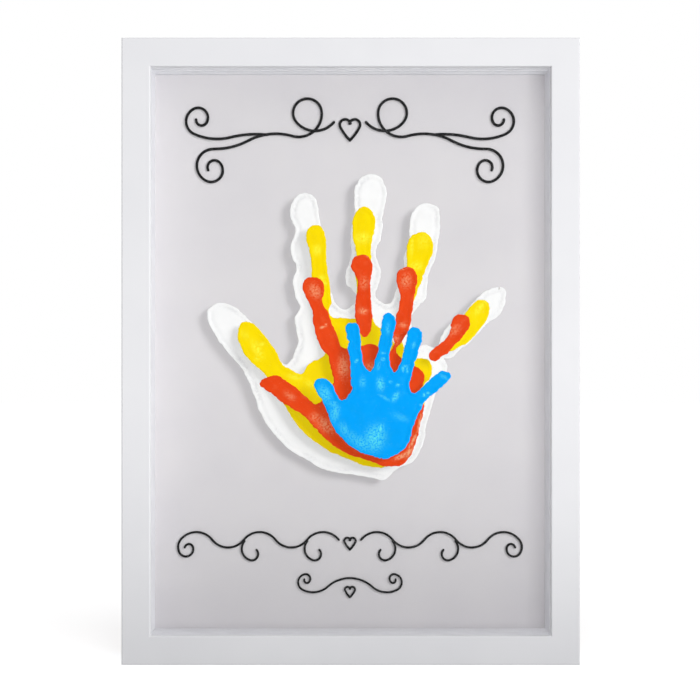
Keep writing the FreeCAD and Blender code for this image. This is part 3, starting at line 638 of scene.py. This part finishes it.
# What each print has of its own.
bluePrint = paintLayer | {
    "piece": "blue_print_paint", "slot": "blue_paint", "seed": 11, "gridStep": 0.42 * millimetre,
    "colour": tint(0, 167, 255), "cloud": tint(0, 163, 247), "pale": tint(100, 234, 240), "shine": 0.02,
    "stippleSize": 1.05 * millimetre, "dotFrom": 0.41, "dotGain": 8.0,
    "waver": 0.9 * millimetre, "waverSize": 2.6 * millimetre,
    "thinAndPaintedLightPatches": (
        (375, 438, 12, 9, 75, 0.85), (380, 429, 5, 3, 60, 1.0), (362, 443, 10, 6, -25, 0.55),
        (352, 437, 6, 5, -40, 0.4), (344, 429, 7, 4, -60, 0.5), (335, 413, 8, 4, 80, 0.62),
        (333, 404, 4, 3, 0, 0.5), (325, 394, 8, 5, -60, 0.62), (380.5, 384, 6, 3.5, 95, 0.85),
        (395.5, 397, 5, 2.5, 60, 0.85), (398, 385, 2, 1.5, 0, 0.7), (390.5, 382, 1.6, 1.4, 0, 0.6),
        (385, 398, 6, 1.3, -30, 0.5), (403, 369, 2.4, 1.2, 90, 1.0), (407.5, 370, 2.4, 1.2, 90, 0.9),
        (405.5, 366, 2.2, 1.0, 0, 0.8), (383, 359, 2, 1.6, 0, 0.8), (383, 353, 2.6, 1.0, 0, 0.6),
        (379, 366, 4, 1.5, 80, 0.45), (388, 329, 5, 2, 90, 0.5), (356.5, 361, 2, 1.3, 45, 0.9),
        (350.5, 369, 4, 0.9, 95, 0.5), (413.5, 345, 3, 2, 70, 0.55), (424.5, 395, 2, 1.6, 0, 0.95),
        (428, 393, 1.6, 1.2, 0, 0.7), (444, 377, 4, 1.5, -30, 0.5), (362.5, 382, 5, 3, 90, 0.45),
        (420.5, 405, 1.2, 1.0, 0, 0.8), (400, 417, 8, 3, -20, 0.35),
    ),
}
redPrint = paintLayer | {
    "piece": "red_print_paint", "slot": "red_paint", "seed": 23, "gridStep": 0.5 * millimetre,
    "colour": tint(234, 74, 25), "cloud": tint(228, 66, 18), "pale": tint(248, 180, 132),
    "dotFrom": 0.40, "dotGain": 7.0,
    # Thin paint; the pair near column 323 to 326 and the last two, on fingertip tops, are painted highlights.
    "thinAndPaintedLightPatches": (
        (315, 291, 7, 5, -60, 0.6), (364, 283, 6, 4, 90, 0.4), (406, 281, 7, 5, 80, 0.5),
        (343, 367, 10, 5, 90, 0.6), (323, 327, 3, 1.2, 20, 1.0), (326, 325, 1.6, 1.2, 0, 1.0),
        (325, 425, 10, 5, -45, 0.6), (315, 417, 5, 4, 0, 0.45), (370, 367, 5, 4, 0, 0.5),
        (363, 311, 4, 3, 0, 0.75), (403, 325, 4, 2.5, 0, 0.55), (396, 340, 5, 4, 60, 0.4),
        (290, 396, 6, 3, -40, 0.4), (455, 330, 7, 4, 45, 0.4), (413, 441, 10, 1.4, 62, 1.0),
        (409, 452, 6, 2.2, 55, 1.0), (419.5, 423, 9, 1.2, 80, 1.0), (402, 456, 7, 2.0, 25, 1.0),
        (367, 254.5, 4, 1.3, -35, 1.0), (405, 267.5, 5, 1.3, 25, 1.0),
    ),
}
yellowPrint = paintLayer | {
    "piece": "yellow_print_paint", "slot": "yellow_paint", "seed": 37, "gridStep": 0.65 * millimetre,
    "colour": tint(252, 224, 0), "cloud": tint(248, 217, 0), "pale": tint(252, 246, 64),
    "thinAndPaintedLightPatches": (
        (257, 349, 9, 4, -60, 0.9), (257, 359, 2.5, 2, 0, 1.0), (262, 344, 3, 2, 0, 0.9),
        (245, 335, 5, 3, -60, 0.6), (295, 377, 7, 3, -10, 0.8), (310, 384, 5, 3, -40, 0.6),
        (317, 250, 5, 4, 90, 1.0), (363, 238, 7, 5, 0, 1.0), (417, 266, 6, 4, 0, 0.9),
        (412, 246, 10, 1.6, 88, 0.8), (322, 278, 4, 3, 0, 0.8), (325, 283, 3, 2, -45, 0.9),
        (424, 240, 8, 6, 60, 0.5), (480, 308, 8, 3, 50, 0.9),
    ),
}
whitePrint = paintLayer | {
    "piece": "white_print_paint", "slot": "white_paint", "seed": 53, "gridStep": 0.72 * millimetre,
    # The grey pale colour, in the band inside the bead, is thin paint and painted shade of the rim's relief.
    "colour": tint(249, 249, 249), "cloud": tint(245, 245, 245), "pale": tint(226, 226, 227),
    "beadIn": 0.8 * millimetre, "beadWide": 0.7 * millimetre, "bead": 0.42, "trough": 0.30, "troughThinAndShade": 1.0,
    "thinAndPaintedLightPatches": (),
}
prints = {
    "blue_handprint": bluePrint, "red_handprint": redPrint,
    "yellow_handprint": yellowPrint, "white_handprint": whitePrint,
}
for printName, printValues in prints.items():
    makePrint(printName, printValues)


# Floor: a plain pale plane, near white. The surround and a lamp of its own, high in front, light it evenly
# up to the horizon, so that it keeps one soft shadow, behind the frame.
floorSet = {
    "half": 6.0, "colour": (0.90, 0.90, 0.90, 1.0), "cloud": (0.87, 0.87, 0.875, 1.0), "cloudSize": 0.4,
    "glow": 0.55,
}


def makeFloor(values):
    half = values["half"]
    corners = [(-half, -half, 0.0), (half, -half, 0.0), (half, half, 0.0), (-half, half, 0.0)]
    mesh = bpy.data.meshes.new("floor")
    mesh.from_pydata(corners, [], [(0, 1, 2, 3)])
    floor = bpy.data.objects.new("floor", mesh)
    bpy.context.scene.collection.objects.link(floor)
    material, tools, place = startMaterial("paleFloor")
    clouds = noise(tools, place, values["cloudSize"], detail=2.0)
    plain = mixColours(tools, clouds, values["colour"], values["cloud"])
    matt = tools.node("ShaderNodeBsdfDiffuse", {}, {"Color": plain})
    glow = tools.node("ShaderNodeEmission", {}, {"Strength": values["glow"]})
    both = tools.node("ShaderNodeAddShader", {}, {0: matt, 1: glow})
    mesh.materials.append(surfaceOf(material, tools, both))
    floor.visible_diffuse = floor.visible_shadow = False  # the surround lights the object from below as well


makeFloor(floorSet)


# Light: a soft key from the right, in front and above, over an even white surround. Each layer of paint
# shades only the layer behind it, blue the yellow one as well, and the rails shade nothing on the backing.
# The key is therefore one lamp for each layer and one for the rest, all in the same place, and the fill
# passes through the paint. The floor has a lamp of its own. Flags, cards that no camera sees, fade the
# light: one stands below the frame, and two keep some of the key off the top and the bottom of the backing.
lightSet = {
    "ambient": 0.345, "ambientColour": (0.98, 0.985, 1.0, 1.0),
    "aim": (0.0, 0.0, 0.19),
    "key": {"from": (1.07, -1.0, 0.59), "away": 4.0, "size": 1.7, "power": 72.5},
    "fill": {"from": (0.20, -1.0, -0.20), "away": 3.0, "size": 1.8, "power": 40.5},
    "back": {"from": (-0.8, 1.0, 0.9), "away": 2.5, "size": 1.6, "power": 26.0},
    "floor": {"from": (0.15, -1.0, 2.3), "power": 0.70, "softness": 22.0},
    "flagColour": (0.02, 0.02, 0.02, 1.0),
    "flags": {
        "lowFlag": {"edge": -0.248, "away": 0.6, "reach": -0.8, "wide": 3.0},
        "backingLowFlag": {"edge": 0.010, "away": 0.44, "reach": -0.5, "wide": 1.4},
        "backingTopFlag": {"edge": 0.358, "away": 0.14, "reach": 0.3, "wide": 1.0},
    },
    "layers": {
        "keyOnCard": {
            "lit": ("backing_card",) + ornaments,
            "shade": ("white_print_paint", "backingLowFlag", "backingTopFlag") + ornaments,
        },
        "keyOnWhite": {"lit": ("white_print_paint",), "shade": ("yellow_print_paint", "lowFlag")},
        "keyOnYellow": {
            "lit": ("yellow_print_paint",), "shade": ("red_print_paint", "blue_print_paint", "lowFlag"),
        },
        "keyOnRed": {"lit": ("red_print_paint",), "shade": ("blue_print_paint", "lowFlag")},
    },
}


def lightWorld(values):
    world = bpy.data.worlds.new("whiteSurround")
    world.use_nodes = True
    world.node_tree.nodes.clear()
    bpy.context.scene.world = world
    tools = Wire(world.node_tree)
    kinds = ("Is Camera Ray", "Is Glossy Ray", "Is Transmission Ray")
    camera, glossy, transmission = (tools.node("ShaderNodeLightPath", {}, {}, kind) for kind in kinds)
    seen = (camera + glossy + transmission).clamped()
    strength = values["ambient"] + (1.0 - values["ambient"]) * seen
    colour = mixColours(tools, seen, values["ambientColour"], white)
    surround = tools.node("ShaderNodeBackground", {}, {"Color": colour, "Strength": strength})
    tools.node("ShaderNodeOutputWorld", {}, {"Surface": surround})


def unit(side):
    return np.array(side) / np.linalg.norm(side)


def addLamp(lamp, side):
    # A lamp's object, turned to shine from that side.
    x, y, z = unit(side)
    item = bpy.data.objects.new(lamp.name, lamp)
    item.rotation_euler = (math.acos(z), 0.0, math.atan2(y, x) + math.pi / 2)
    bpy.context.scene.collection.objects.link(item)
    return item


def discLamp(name, aim, values):
    lamp = bpy.data.lights.new(name, "AREA")
    lamp.shape = "DISK"
    lamp.size = values["size"]
    lamp.energy = values["power"]
    item = addLamp(lamp, values["from"])
    item.location = np.array(aim) + unit(values["from"]) * values["away"]
    return item


def sunLamp(name, values):
    lamp = bpy.data.lights.new(name, "SUN")
    lamp.energy = values["power"]
    lamp.angle = math.radians(values["softness"])
    return addLamp(lamp, values["from"])


def makeFlag(name, card, keySide, values):
    # An upright card across the key's beam. Its edge stands on the line towards the key from the height edge
    # at the frame's middle, and it reaches up or down from there.
    edge = np.array((0.0, 0.0, values["edge"])) + keySide * values["away"]
    wide = np.array((values["wide"] / 2, 0.0, 0.0))
    reach = np.array((0.0, 0.0, values["reach"]))
    mesh = bpy.data.meshes.new(name)
    mesh.from_pydata([edge - wide, edge + wide, edge + wide + reach, edge - wide + reach], [], [(0, 1, 2, 3)])
    mesh.materials.append(card)
    flag = bpy.data.objects.new(name, mesh)
    bpy.context.scene.collection.objects.link(flag)
    flag.visible_camera = flag.visible_diffuse = flag.visible_glossy = flag.visible_transmission = False


def linkGroup(name, items, state):
    group = bpy.data.collections.new(name)
    for item in items:
        group.objects.link(bpy.data.objects[item])
    for entry in group.collection_objects:
        entry.light_linking.link_state = state
    return group


def lightOnly(lamp, lit, shade):
    # The lamp lights only these items, and only these throw a shadow in its light.
    lamp.light_linking.receiver_collection = linkGroup(lamp.name + "Lit", lit, "INCLUDE")
    lamp.light_linking.blocker_collection = linkGroup(lamp.name + "Shade", shade, "INCLUDE")


def makeLights(values):
    aim, key = values["aim"], values["key"]
    material, tools = startMaterial("blackCard")[:2]
    card = finish(material, tools, {"Base Color": values["flagColour"]})
    for name, flag in values["flags"].items():
        makeFlag(name, card, unit(key["from"]), flag)
    layered = ["floor"]
    for name, layer in values["layers"].items():
        lightOnly(discLamp(name, aim, key), layer["lit"], layer["shade"])
        layered += layer["lit"]
    rest = discLamp("keyOnRest", aim, key)
    rest.light_linking.receiver_collection = linkGroup("restLit", layered, "EXCLUDE")
    rest.light_linking.blocker_collection = linkGroup("restShade", ["lowFlag"], "INCLUDE")
    fill = discLamp("fill", aim, values["fill"])
    passed = [printed["piece"] for printed in prints.values()] + ["backingLowFlag", "backingTopFlag"]
    fill.light_linking.receiver_collection = linkGroup("fillLit", ["floor"], "EXCLUDE")
    fill.light_linking.blocker_collection = linkGroup("fillShade", passed, "EXCLUDE")
    back = discLamp("back", aim, values["back"])
    back.light_linking.receiver_collection = linkGroup("backLit", ["floor"], "EXCLUDE")
    floorLamp = sunLamp("floorLamp", values["floor"])
    floorLamp.light_linking.receiver_collection = linkGroup("floorLit", ["floor"], "INCLUDE")
    floorLamp.light_linking.blocker_collection = linkGroup("floorShade", list(values["flags"]), "EXCLUDE")


lightWorld(lightSet)
makeLights(lightSet)
scene = bpy.context.scene
scene.view_settings.view_transform = "Standard"
scene.cycles.transparent_max_bounces = 40
print("stage and lights set")
